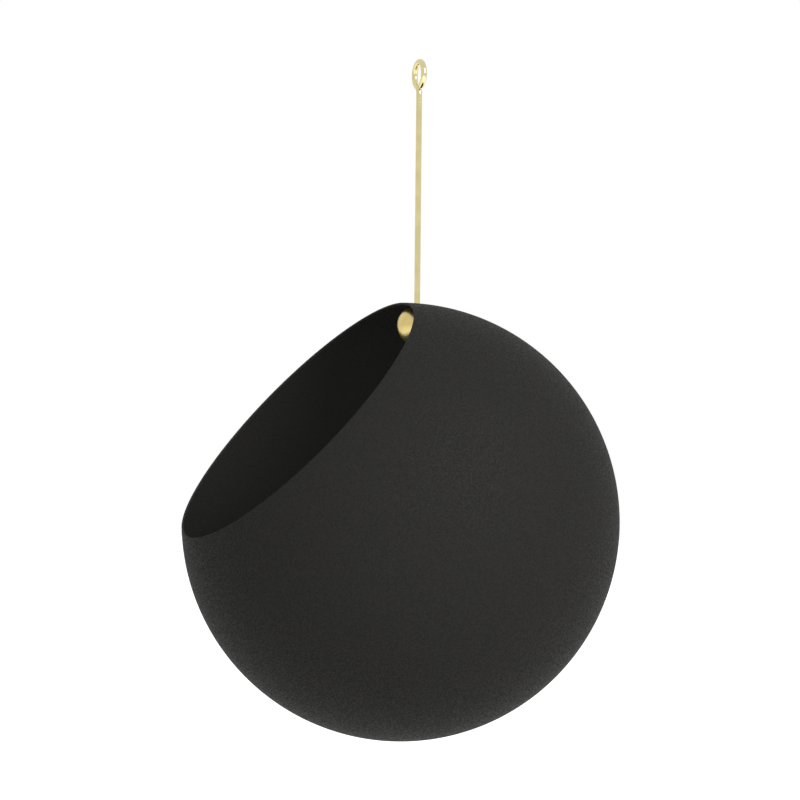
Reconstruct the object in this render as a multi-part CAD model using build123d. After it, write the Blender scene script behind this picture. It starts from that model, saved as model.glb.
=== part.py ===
from build123d import *
import math
import os

# A hanging globe planter: a spun steel globe with one slanting round mouth, hung on a bent brass rod.
# The rod ends in an eye at the top, passes through a hole in the globe and screws into a ball knob inside.
# Sizes are in millimetres and degrees. +Z is up and the mouth faces -Y.
# The origin is the centre of the hanging eye, on the axis of the rod.

# Globe shell
globe_diameter = 220.0
wall_thickness = 1.0
mouth_diameter = 159.0  # across the middle of the wall
mouth_tilt = 42.8  # how far the mouth's axis points above the horizon
rod_hole_diameter = 4.0
rod_hole_from_rim = 9.0  # along the wall, from the mouth's rim to the hole's middle

# Hanging rod and its eye
rod_diameter = 3.0
rod_rise = 115.5  # from the globe's outer face up to the eye's centre
eye_inner_diameter = 10.0
neck_bend_radius = 3.5
eye_gap = 0.3  # between the wire's end and its own neck
rod_end_chamfer = 0.4

# Ball knob
knob_diameter = 20.0
knob_flat_diameter = 6.0
knob_seat_gap = 0.2  # between the knob's flat and the inside of the globe
knob_hole_depth = 13.0
knob_hole_clearance = 0.05  # on the radius, round the rod's threaded end
rod_end_gap = 0.8  # from the rod's end to the bottom of the hole
drill_point_angle = 118.0
knob_hole_chamfer = 0.4

# Worked out from the sizes above
globe_radius = globe_diameter / 2
inner_radius = globe_radius - wall_thickness
middle_radius = globe_radius - wall_thickness / 2
rim_angle = math.asin(mouth_diameter / 2 / middle_radius)
# The rod is upright through its hole, so the hole's angle from the mouth's axis sets the rod back.
hole_angle = rim_angle + rod_hole_from_rim / middle_radius
rod_set_back = middle_radius * math.sin(hole_angle - math.radians(90 - mouth_tilt))
rod_radius = rod_diameter / 2
globe_centre_z = -rod_rise - math.sqrt(globe_radius**2 - rod_set_back**2)
knob_radius = knob_diameter / 2
knob_flat_radius = knob_flat_diameter / 2
knob_hole_radius = rod_radius + knob_hole_clearance
# The globe's inside is lowest over the flat at its far edge, furthest from the globe's centre line.
seat_height = math.sqrt(inner_radius**2 - (rod_set_back + knob_flat_radius) ** 2)
knob_flat_z = globe_centre_z + seat_height - knob_seat_gap
knob_centre_z = knob_flat_z - math.sqrt(knob_radius**2 - knob_flat_radius**2)
rod_end_z = knob_flat_z - knob_hole_depth + rod_end_gap


def globe_shell():
    """The spun shell: one wall profile revolved about the mouth's axis, with the hole for the rod."""

    def on_wall(radius, angle):
        return (radius * math.sin(angle), radius * math.cos(angle))

    half_way = (rim_angle + math.pi) / 2
    rim_top = (
        on_wall(middle_radius, rim_angle)[0] - wall_thickness / 2 * math.cos(rim_angle),
        on_wall(middle_radius, rim_angle)[1] + wall_thickness / 2 * math.sin(rim_angle),
    )
    outside = ThreePointArc(
        (0, -globe_radius), on_wall(globe_radius, half_way), on_wall(globe_radius, rim_angle)
    )
    rim = ThreePointArc(
        on_wall(globe_radius, rim_angle), rim_top, on_wall(inner_radius, rim_angle)
    )
    inside = ThreePointArc(
        on_wall(inner_radius, rim_angle), on_wall(inner_radius, half_way), (0, -inner_radius)
    )
    foot = Line((0, -inner_radius), (0, -globe_radius))
    profile = Plane.XZ * make_face([outside, rim, inside, foot])
    shell = revolve(profile, axis=Axis.Z)
    # The mouth's axis leans from +Z towards -Y.
    shell = Pos(0, -rod_set_back, globe_centre_z) * Rot(90 - mouth_tilt, 0, 0) * shell
    drill = Cylinder(
        rod_hole_diameter / 2, globe_radius, align=(Align.CENTER, Align.CENTER, Align.MIN)
    )
    return shell - Pos(0, 0, globe_centre_z) * drill


def hanging_rod():
    """One length of round wire: a straight shank, a small neck bend and an eye centred over the shank."""
    eye_radius = (eye_inner_diameter + rod_diameter) / 2
    reach = eye_radius + neck_bend_radius
    neck_z = -math.sqrt(reach**2 - neck_bend_radius**2)
    # The neck's arc meets the eye's circle on the line between their centres.
    meet_angle = math.atan2(neck_z, -neck_bend_radius)
    # The wire stops where its end comes within the gap of the neck.
    stand_off = neck_bend_radius + rod_diameter + eye_gap
    open_angle = math.acos((eye_radius**2 + reach**2 - stand_off**2) / (2 * eye_radius * reach))
    end_angle = meet_angle + open_angle - 2 * math.pi

    def on_eye(angle):
        return (eye_radius * math.cos(angle), 0, eye_radius * math.sin(angle))

    shank = Line((0, 0, rod_end_z), (0, 0, neck_z))
    neck_turn = math.atan2(-neck_z, neck_bend_radius)
    neck_middle = (
        neck_bend_radius * (math.cos(neck_turn / 2) - 1),
        0,
        neck_z + neck_bend_radius * math.sin(neck_turn / 2),
    )
    neck = ThreePointArc((0, 0, neck_z), neck_middle, on_eye(meet_angle))
    eye = ThreePointArc(
        on_eye(meet_angle), on_eye((meet_angle + end_angle) / 2), on_eye(end_angle)
    )
    path = Wire([shank, neck, eye])
    section = Plane(origin=path @ 0, z_dir=path % 0) * Circle(rod_radius)
    rod = sweep(section, path=path)
    print("rod volume over section times length", rod.volume / (math.pi * rod_radius**2 * path.length))
    ends = [rod.faces().sort_by(Axis.Z)[0]]
    cut_end = path @ 1
    ends.append(rod.faces().filter_by(GeomType.PLANE).sort_by_distance(cut_end)[0])
    return chamfer([edge for face in ends for edge in face.edges()], rod_end_chamfer)


def ball_knob():
    """A turned ball with a small flat on top and a blind hole for the rod's threaded end."""
    hole_bottom = knob_flat_z - knob_hole_depth
    point_depth = knob_hole_radius / math.tan(math.radians(drill_point_angle / 2))
    outline = [
        Line((0, knob_centre_z - knob_radius), (0, hole_bottom - point_depth)),
        Line((0, hole_bottom - point_depth), (knob_hole_radius, hole_bottom)),
        Line((knob_hole_radius, hole_bottom), (knob_hole_radius, knob_flat_z - knob_hole_chamfer)),
        Line(
            (knob_hole_radius, knob_flat_z - knob_hole_chamfer),
            (knob_hole_radius + knob_hole_chamfer, knob_flat_z),
        ),
        Line((knob_hole_radius + knob_hole_chamfer, knob_flat_z), (knob_flat_radius, knob_flat_z)),
        ThreePointArc(
            (knob_flat_radius, knob_flat_z),
            (knob_radius, knob_centre_z),
            (0, knob_centre_z - knob_radius),
        ),
    ]
    return revolve(Plane.XZ * make_face(outline), axis=Axis.Z)


def write_parts():
    os.makedirs("parts", exist_ok=True)
    export_step(globe_shell(), "parts/globe_shell.step")
    export_step(hanging_rod(), "parts/hanging_rod.step")
    export_step(ball_knob(), "parts/ball_knob.step")


write_parts()
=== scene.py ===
"""A black spun steel globe planter on a bent brass rod, hung over a pale floor in an even white studio."""
import math

import bpy
import numpy as np
from mathutils import Matrix, Vector


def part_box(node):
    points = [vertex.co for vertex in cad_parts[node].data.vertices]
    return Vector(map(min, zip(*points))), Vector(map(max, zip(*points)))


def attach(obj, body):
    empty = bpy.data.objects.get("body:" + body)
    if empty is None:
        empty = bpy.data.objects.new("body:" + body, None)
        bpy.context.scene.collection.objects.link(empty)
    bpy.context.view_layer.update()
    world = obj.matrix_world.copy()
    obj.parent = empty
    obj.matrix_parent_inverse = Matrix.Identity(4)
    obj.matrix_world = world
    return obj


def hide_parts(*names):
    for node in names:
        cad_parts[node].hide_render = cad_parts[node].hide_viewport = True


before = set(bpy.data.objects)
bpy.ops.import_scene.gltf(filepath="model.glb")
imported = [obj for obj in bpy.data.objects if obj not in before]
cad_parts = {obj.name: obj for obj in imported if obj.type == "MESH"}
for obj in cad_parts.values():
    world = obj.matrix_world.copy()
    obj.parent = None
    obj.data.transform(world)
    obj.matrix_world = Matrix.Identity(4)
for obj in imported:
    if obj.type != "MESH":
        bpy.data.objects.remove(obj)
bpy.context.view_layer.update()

MM = 0.001

# Sizes of the planter, in metres and degrees, as the CAD has them
globe_radius = 110 * MM
wall = 1 * MM
mouth_radius = 79.5 * MM
mouth_tilt = math.radians(42.8)
rod_hole_radius = 2 * MM
rod_radius = 1.5 * MM
eye_inner_radius = 5 * MM
neck_bend_radius = 3.5 * MM
eye_gap = 0.3 * MM
rod_chamfer = 0.4 * MM
thread_pitch = 0.5 * MM
thread_depth = 0.3 * MM
knob_radius = 10 * MM
knob_flat_radius = 3 * MM
knob_hole_radius = 1.55 * MM
knob_hole_depth = 13 * MM
knob_hole_chamfer = 0.4 * MM
drill_point = math.radians(118)

# Places worked out from the frame
shell_low, shell_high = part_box("globe_shell")
knob_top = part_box("ball_knob")[1].z
rod_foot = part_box("hanging_rod")[0].z
rod_set_back = globe_radius - shell_high.y
globe_centre = np.array([0.0, -rod_set_back, shell_low.z + globe_radius])

# The photograph's frame: a camera ten globe radii away, a little turned about its own axis
frame_width_px = 800
focal_length_px = 2181.0
camera_azimuth = math.radians(69.67)
camera_elevation = math.radians(0.42)
camera_roll = math.radians(0.55)
camera_distance = 10 * globe_radius
aim_right = -0.0027 * globe_radius
aim_up = 0.5543 * globe_radius
floor_drop = 180 * MM  # from the globe's underside down to the studio floor


def unit(vectors):
    """Vectors scaled to length one along their last axis."""
    vectors = np.asarray(vectors, float)
    return vectors / np.linalg.norm(vectors, axis=-1, keepdims=True)


def ring_faces(rings, count):
    """Quads between neighbouring rings, which are rows of vertex numbers with count in each, closed round."""
    rings = np.asarray(rings)
    ahead = np.roll(rings, -1, axis=1)
    return np.stack([rings[:-1], rings[1:], ahead[1:], ahead[:-1]], axis=-1).reshape(-1, 4)


def fan_faces(ring, tip, flipped=False):
    """Triangles from each edge of a closed ring to one tip vertex. Flipped ones face the other way."""
    ahead = np.roll(ring, -1)
    tips = np.full_like(ring, tip)
    order = [ring, tips, ahead] if flipped else [ahead, tips, ring]
    return np.stack(order, axis=-1)


def add_piece(name, points, face_sets, material, body, node, slot):
    """One closed mesh from points and arrays of faces, smooth, riding on its body in place of its CAD node."""
    used = np.unique(np.concatenate([faces.ravel() for faces in face_sets]))
    faces = [face for faces in face_sets for face in np.searchsorted(used, faces).tolist()]
    mesh = bpy.data.meshes.new(name)
    mesh.from_pydata(points[used].tolist(), [], faces)
    mesh.validate()
    mesh.shade_smooth()
    mesh.materials.append(material)
    piece = bpy.data.objects.new(name, mesh)
    bpy.context.scene.collection.objects.link(piece)
    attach(piece, body)
    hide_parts(node)
    return piece


def mark_sharp(piece, degrees):
    """Edges that turn by more than the angle stay crisp under smooth shading."""
    piece.data.set_sharp_from_angle(angle=math.radians(degrees))


def globe_shell_mesh():
    """The spun shell as one closed skin.

    A wall's points are the globe's centre plus a radius times a direction. The direction at angles a and b is
    the mouth's axis times cos a plus a turned cross direction times sin a, where b turns it about that axis.
    The rim is a half circle of the wall's thickness carried round the mouth, at angles g from the outside to
    the inside. Round the rod's hole a square of cells gives way to rings that pass from the hole's circle, seen
    from above, to the square's outline.
    """
    columns = 320
    rows_above_hole = 4
    rows_below_hole = 108
    patch = 3  # half the square's width, in cells
    rim_steps = 8
    hole_rings = 5

    axis = np.array([0.0, -math.cos(mouth_tilt), math.sin(mouth_tilt)])
    upward = np.array([0.0, math.sin(mouth_tilt), math.cos(mouth_tilt)])
    across = np.array([-1.0, 0.0, 0.0])
    middle_radius = globe_radius - wall / 2
    rim_angle = math.asin(mouth_radius / middle_radius)
    hole_rise = math.sqrt(middle_radius**2 - rod_set_back**2)
    hole_angle = math.acos(np.dot(axis, [0.0, rod_set_back, hole_rise]) / middle_radius)

    a = np.concatenate([
        np.linspace(rim_angle, hole_angle, rows_above_hole + 1),
        np.linspace(hole_angle, math.pi, rows_below_hole + 1)[1:-1],
    ])
    b = np.linspace(0, 2 * math.pi, columns, endpoint=False)
    turned = np.cos(b)[:, None] * upward + np.sin(b)[:, None] * across
    directions = np.cos(a)[:, None, None] * axis + np.sin(a)[:, None, None] * turned
    rows = len(a)

    first, last = rows_above_hole - patch, rows_above_hole + patch
    side = np.arange(-patch, patch + 1)
    outline = np.concatenate([
        np.stack([np.full(2 * patch, first), side[:-1]], axis=1),
        np.stack([first + np.arange(2 * patch), np.full(2 * patch, patch)], axis=1),
        np.stack([np.full(2 * patch, last), side[:0:-1]], axis=1),
        np.stack([last - np.arange(2 * patch), np.full(2 * patch, -patch)], axis=1),
    ])
    outline_columns = outline[:, 1] % columns
    square = directions[outline[:, 0], outline_columns]
    seen = middle_radius * square[:, :2] - [0.0, rod_set_back]
    bearing = np.arctan2(seen[:, 1], seen[:, 0])
    hole_circle = rod_hole_radius * np.stack([np.cos(bearing), np.sin(bearing)], axis=1)
    hole_circle = hole_circle + [0.0, rod_set_back]

    def wall_points(radius):
        sheet = radius * directions.reshape(-1, 3)
        pole = -radius * axis[None]
        share = np.linspace(0, 1, hole_rings + 1)[:-1, None, None]
        flat = (1 - share) * hole_circle + share * (radius * square[:, :2])
        height = np.sqrt(radius**2 - (flat**2).sum(-1, keepdims=True))
        rings = np.concatenate([flat, height], axis=-1).reshape(-1, 3)
        return np.concatenate([sheet, pole, rings])

    def wall_faces(start):
        numbers = start + np.arange(rows * columns).reshape(rows, columns)
        quads = ring_faces(numbers, columns).reshape(rows - 1, columns, 4)
        keep = np.ones((rows - 1, columns), bool)
        keep[first:last, np.arange(-patch, patch)] = False
        pole = start + rows * columns
        rings = pole + 1 + np.arange(hole_rings * len(outline)).reshape(hole_rings, -1)
        rings = np.concatenate([rings, numbers[outline[:, 0], outline_columns][None]])
        patch_faces = ring_faces(rings[::-1], len(outline))
        return [quads[keep], patch_faces, fan_faces(numbers[-1], pole, flipped=True)], rings[0]

    outside, inside = wall_points(globe_radius), wall_points(globe_radius - wall)
    outer_faces, outer_hole = wall_faces(0)
    inner_faces, inner_hole = wall_faces(len(outside))

    g = np.linspace(0, math.pi, rim_steps + 1)[1:-1, None, None]
    slope = -math.sin(rim_angle) * axis + math.cos(rim_angle) * turned
    rim = (middle_radius + wall / 2 * np.cos(g)) * directions[0] - wall / 2 * np.sin(g) * slope
    rim_start = 2 * len(outside)
    rim_rings = rim_start + np.arange((rim_steps - 1) * columns).reshape(-1, columns)
    rim_rings = np.concatenate([
        len(outside) + np.arange(columns)[None],
        rim_rings[::-1],
        np.arange(columns)[None],
    ])
    points = globe_centre + np.concatenate([outside, inside, rim.reshape(-1, 3)])
    hole_wall = ring_faces(np.stack([outer_hole, inner_hole]), len(outline))
    face_sets = outer_faces + [faces[:, ::-1] for faces in inner_faces]
    return points, face_sets + [ring_faces(rim_rings, columns), hole_wall]


def rod_path():
    """Points, headings and places along the wire's middle line: a straight shank, a neck arc and the eye's arc.

    The neck bends away from the shank and meets the eye's circle on the line between their two centres.
    """
    eye_radius = eye_inner_radius + rod_radius
    reach = eye_radius + neck_bend_radius
    neck_z = -math.sqrt(reach**2 - neck_bend_radius**2)
    meet = math.atan2(neck_z, -neck_bend_radius)
    stand_off = neck_bend_radius + 2 * rod_radius + eye_gap
    opening = math.acos((eye_radius**2 + reach**2 - stand_off**2) / (2 * eye_radius * reach))
    neck_turn = math.atan2(-neck_z, neck_bend_radius)

    thread_end = rod_foot + knob_hole_depth
    steps_per_turn = 10
    plain_rows = 60
    neck_rows = 25
    eye_rows = 160
    thread_rows = int(round(knob_hole_depth / thread_pitch * steps_per_turn))
    shank_z = np.concatenate([
        np.linspace(rod_foot + rod_chamfer, thread_end, thread_rows),
        np.linspace(thread_end, neck_z, plain_rows)[1:-1],
    ])
    shank = np.stack([0 * shank_z, shank_z], axis=1)
    shank_heading = np.tile([0.0, 1.0], (len(shank), 1))
    turn = np.linspace(0, neck_turn, neck_rows)[:-1]
    neck = np.stack([neck_bend_radius * (np.cos(turn) - 1), neck_z + neck_bend_radius * np.sin(turn)], axis=1)
    neck_heading = np.stack([-np.sin(turn), np.cos(turn)], axis=1)
    round_eye = np.linspace(meet, meet + opening - 2 * math.pi + rod_chamfer / eye_radius, eye_rows)
    eye = eye_radius * np.stack([np.cos(round_eye), np.sin(round_eye)], axis=1)
    eye_heading = np.stack([np.sin(round_eye), -np.cos(round_eye)], axis=1)
    return np.concatenate([shank, neck, eye]), np.concatenate([shank_heading, neck_heading, eye_heading])


def hanging_rod_mesh():
    """The wire: a circle carried along the middle line, square to it, with its radius cut in by the thread.

    The thread's depth at a height and an angle is a triangle wave of the height over the pitch less the angle
    over a full turn, and it runs out over the last two turns. Both ends are chamfered and closed.
    """
    segments = 40
    middle, heading = rod_path()
    angle = np.linspace(0, 2 * math.pi, segments, endpoint=False)
    height = middle[:, 1] - rod_foot
    phase = (height[:, None] / thread_pitch - angle / (2 * math.pi)) % 1
    tooth = 1 - np.abs(2 * phase - 1)
    run_out = np.clip((knob_hole_depth - height) / (2 * thread_pitch), 0, 1)
    on_shank = np.arange(len(middle)) < np.argmax(np.abs(middle[:, 0]) > 0)
    depth = thread_depth * tooth * (run_out * on_shank)[:, None]
    radius = rod_radius - depth
    ends = rod_radius - rod_chamfer
    middle = np.concatenate([
        middle[:1] - rod_chamfer * heading[:1],
        middle,
        middle[-1:] + rod_chamfer * heading[-1:],
    ])
    heading = np.concatenate([heading[:1], heading, heading[-1:]])
    radius = np.concatenate([np.full((1, segments), ends), radius, np.full((1, segments), ends)])
    sideways = np.stack([heading[:, 1], 0 * heading[:, 0], -heading[:, 0]], axis=1)
    centre = np.stack([middle[:, 0], 0 * middle[:, 0], middle[:, 1]], axis=1)
    depthways = np.array([0.0, 1.0, 0.0])
    skin = centre[:, None] + radius[..., None] * (
        np.cos(angle)[:, None] * sideways[:, None] + np.sin(angle)[:, None] * depthways
    )
    rings = np.arange(skin.shape[0] * segments).reshape(-1, segments)
    tips = len(rings) * segments
    points = np.concatenate([skin.reshape(-1, 3), centre[:1], centre[-1:]])
    faces = [
        ring_faces(rings[::-1], segments),
        fan_faces(rings[0], tips, flipped=True),
        fan_faces(rings[-1], tips + 1),
    ]
    return points, faces


def ball_knob_mesh():
    """The turned ball: its outline of distance and height from the rod's axis, carried once round that axis."""
    segments = 128
    ball_rows = 97
    flat_z = knob_top
    centre_z = flat_z - math.sqrt(knob_radius**2 - knob_flat_radius**2)
    flat_angle = math.asin(knob_flat_radius / knob_radius)
    a = np.linspace(math.pi, flat_angle, ball_rows)[1:]
    ball = np.stack([knob_radius * np.sin(a), centre_z + knob_radius * np.cos(a)], axis=1)
    hole_bottom = flat_z - knob_hole_depth
    bore = np.array([
        [knob_hole_radius + knob_hole_chamfer, flat_z],
        [knob_hole_radius, flat_z - knob_hole_chamfer],
        [knob_hole_radius, hole_bottom],
    ])
    outline = np.concatenate([ball, bore])
    angle = np.linspace(0, 2 * math.pi, segments, endpoint=False)
    around = np.stack([np.cos(angle), np.sin(angle)], axis=1)
    ring = np.concatenate([
        outline[:, None, :1] * around,
        np.broadcast_to(outline[:, None, 1:], (len(outline), segments, 1)),
    ], axis=-1)
    rings = np.arange(len(outline) * segments).reshape(-1, segments)
    bottom = [0.0, 0.0, centre_z - knob_radius]
    point = [0.0, 0.0, hole_bottom - knob_hole_radius / math.tan(drill_point / 2)]
    points = np.concatenate([ring.reshape(-1, 3), [bottom, point]])
    tips = len(rings) * segments
    faces = [
        ring_faces(rings[::-1], segments),
        fan_faces(rings[0], tips, flipped=True),
        fan_faces(rings[-1], tips + 1),
    ]
    return points, faces


class Finish:
    """A material and short ways to add and join its nodes."""

    def __init__(self, name):
        self.material = bpy.data.materials.new(name)
        self.material.use_nodes = True
        self.tree = self.material.node_tree
        self.shader = self.tree.nodes["Principled BSDF"]
        self.place = self.tree.nodes.new("ShaderNodeTexCoord").outputs["Object"]

    def set(self, **values):
        for key, value in values.items():
            self.shader.inputs[key.replace("_", " ")].default_value = value

    def join(self, source, target):
        self.tree.links.new(source, target)

    def noise(self, scale, detail, rough=0.5):
        node = self.tree.nodes.new("ShaderNodeTexNoise")
        node.inputs["Scale"].default_value = scale
        node.inputs["Detail"].default_value = detail
        node.inputs["Roughness"].default_value = rough
        self.join(self.place, node.inputs["Vector"])
        return node.outputs["Fac"]

    def cell_distance(self, scale):
        """How far a point is from the middle of its cell."""
        node = self.tree.nodes.new("ShaderNodeTexVoronoi")
        node.inputs["Scale"].default_value = scale
        self.join(self.place, node.inputs["Vector"])
        return node.outputs["Distance"]

    def distance_from(self, centre):
        node = self.tree.nodes.new("ShaderNodeVectorMath")
        node.operation = "DISTANCE"
        node.inputs[1].default_value = tuple(centre)
        self.join(self.place, node.inputs[0])
        return node.outputs["Value"]

    def spread(self, value, low, high, to_low=0.0, to_high=1.0):
        """A number that passes smoothly from to_low to to_high while the value passes from low to high."""
        node = self.tree.nodes.new("ShaderNodeMapRange")
        node.interpolation_type = "SMOOTHSTEP"
        for key, number in zip(("From Min", "From Max", "To Min", "To Max"), (low, high, to_low, to_high)):
            node.inputs[key].default_value = number
        self.join(value, node.inputs["Value"])
        return node.outputs["Result"]

    def blend(self, share, first, second):
        """A mix of two colours, each a tuple or another node's output."""
        node = self.tree.nodes.new("ShaderNodeMix")
        node.data_type = "RGBA"
        for socket, colour in ((node.inputs[6], first), (node.inputs[7], second)):
            if isinstance(colour, tuple):
                socket.default_value = (*colour, 1)
            else:
                self.join(colour, socket)
        self.join(share, node.inputs["Factor"])
        return node.outputs[2]

    def bump(self, height, distance, strength, under=None):
        node = self.tree.nodes.new("ShaderNodeBump")
        node.inputs["Distance"].default_value = distance
        node.inputs["Strength"].default_value = strength
        self.join(height, node.inputs["Height"])
        if under:
            self.join(under, node.inputs["Normal"])
        return node.outputs["Normal"]


def powder_coat():
    """Matt black powder coat: a grain about a millimetre across over a faint wider ripple.

    The inside of the globe, told by its distance from the globe's centre, is painted lighter: the same black
    coat at about 2.3 times the outside's tone, which stands in for light falling into the hollow.
    """
    coat = Finish("black_powder_coat")
    grain = coat.noise(1100.0, detail=2.0, rough=0.6)
    ripple = coat.noise(260.0, detail=1.0)
    grain_low, grain_high = 0.35, 0.65
    grain_roughness = (0.90, 0.56)
    grains = coat.spread(grain, grain_low, grain_high)
    outer = coat.blend(grains, (0.0145, 0.0145, 0.0139), (0.0173, 0.0171, 0.0162))
    # Painted light: the inner wall gets the same black coat made lighter, standing in for the light inside the
    # hollow.
    inner_painted_light = coat.blend(grains, (0.0331, 0.0331, 0.0312), (0.0387, 0.0383, 0.0359))
    # Where the painted lighter inside goes: 1 on the inner wall, 0 on the outer.
    inside = coat.spread(coat.distance_from(globe_centre), globe_radius - wall, globe_radius, 1.0, 0.0)
    coat.join(coat.blend(inside, outer, inner_painted_light), coat.shader.inputs["Base Color"])
    coat.join(coat.spread(grain, grain_low, grain_high, *grain_roughness), coat.shader.inputs["Roughness"])
    coat.set(Specular_IOR_Level=0.055)
    relief = coat.bump(ripple, distance=0.03 * MM, strength=0.5)
    coat.join(coat.bump(grain, distance=0.02 * MM, strength=1.0, under=relief), coat.shader.inputs["Normal"])
    return coat.material


def brass(name, roughness, low_tone, high_tone, pitted):
    """Polished brass with a slow change of tone, and with small pits where it is turned."""
    metal = Finish(name)
    metal.set(Metallic=1.0)
    tone = metal.noise(120.0, detail=3.0)
    tone_low, tone_high = 0.3, 0.7
    roughness_change = 0.04
    colour = metal.blend(metal.spread(tone, tone_low, tone_high), low_tone, high_tone)
    metal.join(colour, metal.shader.inputs["Base Color"])
    dulled = metal.spread(tone, tone_low, tone_high, roughness, roughness + roughness_change)
    metal.join(dulled, metal.shader.inputs["Roughness"])
    if pitted:
        pit_middle, pit_edge = 0.06, 0.2
        pits = metal.spread(metal.cell_distance(700.0), pit_middle, pit_edge)
        metal.join(metal.bump(pits, distance=0.02 * MM, strength=0.35), metal.shader.inputs["Normal"])
    return metal.material


def photo_camera():
    """Add the photograph's camera, and give its right, up and back directions."""
    turn, rise, roll = camera_azimuth, camera_elevation, camera_roll
    back = np.array([math.sin(turn) * math.cos(rise), -math.cos(turn) * math.cos(rise), math.sin(rise)])
    level = unit(np.cross(-back, [0.0, 0.0, 1.0]))
    plumb = np.cross(level, -back)
    right = level * math.cos(roll) + plumb * math.sin(roll)
    up = plumb * math.cos(roll) - level * math.sin(roll)
    place = globe_centre + aim_right * right + aim_up * up + camera_distance * back
    data = bpy.data.cameras.new("camera")
    data.sensor_width = 36.0
    data.lens = focal_length_px / frame_width_px * data.sensor_width
    data.clip_start = 0.01
    data.clip_end = 50.0
    camera = bpy.data.objects.new("camera", data)
    bpy.context.scene.collection.objects.link(camera)
    axes = Matrix((right, up, back)).transposed().to_4x4()
    camera.matrix_world = Matrix.Translation(Vector(place)) @ axes
    bpy.context.scene.camera = camera
    return right, up, back


def soft_lamp(name, direction, distance, size, power, colour=(1.0, 1.0, 1.0)):
    """A square area lamp that faces the globe's centre from a direction."""
    data = bpy.data.lights.new(name, "AREA")
    data.shape = "SQUARE"
    data.size = size
    data.energy = power
    data.color = colour
    lamp = bpy.data.objects.new(name, data)
    bpy.context.scene.collection.objects.link(lamp)
    direction = Vector(unit(direction))
    place = Vector(globe_centre) + direction * distance
    lamp.matrix_world = Matrix.Translation(place) @ direction.to_track_quat("Z", "Y").to_matrix().to_4x4()
    return lamp


def seen_directly(tree):
    """A value of 1 for rays from the camera and for those that metal and glass send on, and 0 for the rest."""
    path = tree.nodes.new("ShaderNodeLightPath").outputs
    value = path["Is Camera Ray"]
    for kind in ("Is Glossy Ray", "Is Transmission Ray"):
        larger = tree.nodes.new("ShaderNodeMath")
        larger.operation = "MAXIMUM"
        tree.links.new(value, larger.inputs[0])
        tree.links.new(path[kind], larger.inputs[1])
        value = larger.outputs[0]
    return value


def studio(right, up, back):
    """Two soft lamps in an even grey room, which is white to the camera and in reflections."""
    room_level = 0.64
    soft_lamp(
        "key_lamp", 0.57 * right + 0.51 * up + 0.65 * back,
        distance=1.6, size=0.82, power=18.9, colour=(1.0, 0.98, 0.94),
    )
    mouth_lamp = soft_lamp(
        "mouth_lamp", -0.11 * right + 0.03 * up + 0.99 * back,
        distance=1.8, size=1.4, power=14.3,
    )
    mouth_lamp.visible_glossy = False  # the metal shows the white room in its place

    world = bpy.data.worlds.new("studio_surround")
    bpy.context.scene.world = world
    world.use_nodes = True
    tree = world.node_tree
    nodes, links = tree.nodes, tree.links

    dim = nodes["Background"]
    dim.inputs["Color"].default_value = (room_level, room_level, room_level, 1)
    white = nodes.new("ShaderNodeBackground")
    white.inputs["Color"].default_value = (1, 1, 1, 1)
    whole = nodes.new("ShaderNodeMixShader")
    links.new(seen_directly(tree), whole.inputs["Fac"])
    links.new(dim.outputs["Background"], whole.inputs[1])
    links.new(white.outputs["Background"], whole.inputs[2])
    links.new(whole.outputs["Shader"], nodes["World Output"].inputs["Surface"])


def studio_floor():
    """A round pale floor well under the globe, clear from below.

    Where no shadow falls it is white to the camera and in reflections.
    """
    floor_radius = 4.0
    segments = 96
    floor_tone = 0.77
    lift_strength = 0.75
    angle = np.linspace(0, 2 * math.pi, segments, endpoint=False)
    rim = floor_radius * np.stack([np.cos(angle), np.sin(angle), 0 * angle], axis=1)
    mesh = bpy.data.meshes.new("studio_floor")
    mesh.from_pydata((rim + [0, 0, shell_low.z - floor_drop]).tolist(), [], [list(range(len(rim)))])
    floor = bpy.data.objects.new("studio_floor", mesh)
    bpy.context.scene.collection.objects.link(floor)
    material = bpy.data.materials.new("pale_floor")
    material.use_nodes = True
    tree = material.node_tree
    shader = tree.nodes["Principled BSDF"]
    shader.inputs["Base Color"].default_value = (floor_tone, floor_tone, floor_tone, 1)
    shader.inputs["Roughness"].default_value = 0.9
    shader.inputs["Specular IOR Level"].default_value = 0.0
    shader.inputs["Emission Color"].default_value = (1, 1, 1, 1)
    lift = tree.nodes.new("ShaderNodeMath")
    lift.operation = "MULTIPLY"
    lift.inputs[1].default_value = lift_strength
    tree.links.new(seen_directly(tree), lift.inputs[0])
    tree.links.new(lift.outputs[0], shader.inputs["Emission Strength"])
    clear = tree.nodes.new("ShaderNodeBsdfTransparent")
    side = tree.nodes.new("ShaderNodeNewGeometry")
    upper = tree.nodes.new("ShaderNodeMixShader")
    tree.links.new(side.outputs["Backfacing"], upper.inputs["Fac"])
    tree.links.new(shader.outputs["BSDF"], upper.inputs[1])
    tree.links.new(clear.outputs["BSDF"], upper.inputs[2])
    tree.links.new(upper.outputs["Shader"], tree.nodes["Material Output"].inputs["Surface"])
    mesh.materials.append(material)


camera_axes = photo_camera()
studio(*camera_axes)
studio_floor()

coat = powder_coat()
rod_brass = brass("drawn_brass", 0.05, (0.62, 0.54, 0.27), (0.70, 0.61, 0.33), False)
knob_brass = brass("turned_brass", 0.31, (0.60, 0.48, 0.18), (0.69, 0.56, 0.24), True)

shell = add_piece("shell_skin", *globe_shell_mesh(), coat, "globe", "globe_shell", "black_powder_coat")
mark_sharp(shell, 50)
rod = add_piece("rod_skin", *hanging_rod_mesh(), rod_brass, "hanger", "hanging_rod", "brass")
mark_sharp(rod, 40)
knob = add_piece("knob_skin", *ball_knob_mesh(), knob_brass, "hanger", "ball_knob", "brass")
mark_sharp(knob, 30)

bpy.context.scene.view_settings.view_transform = "Standard"
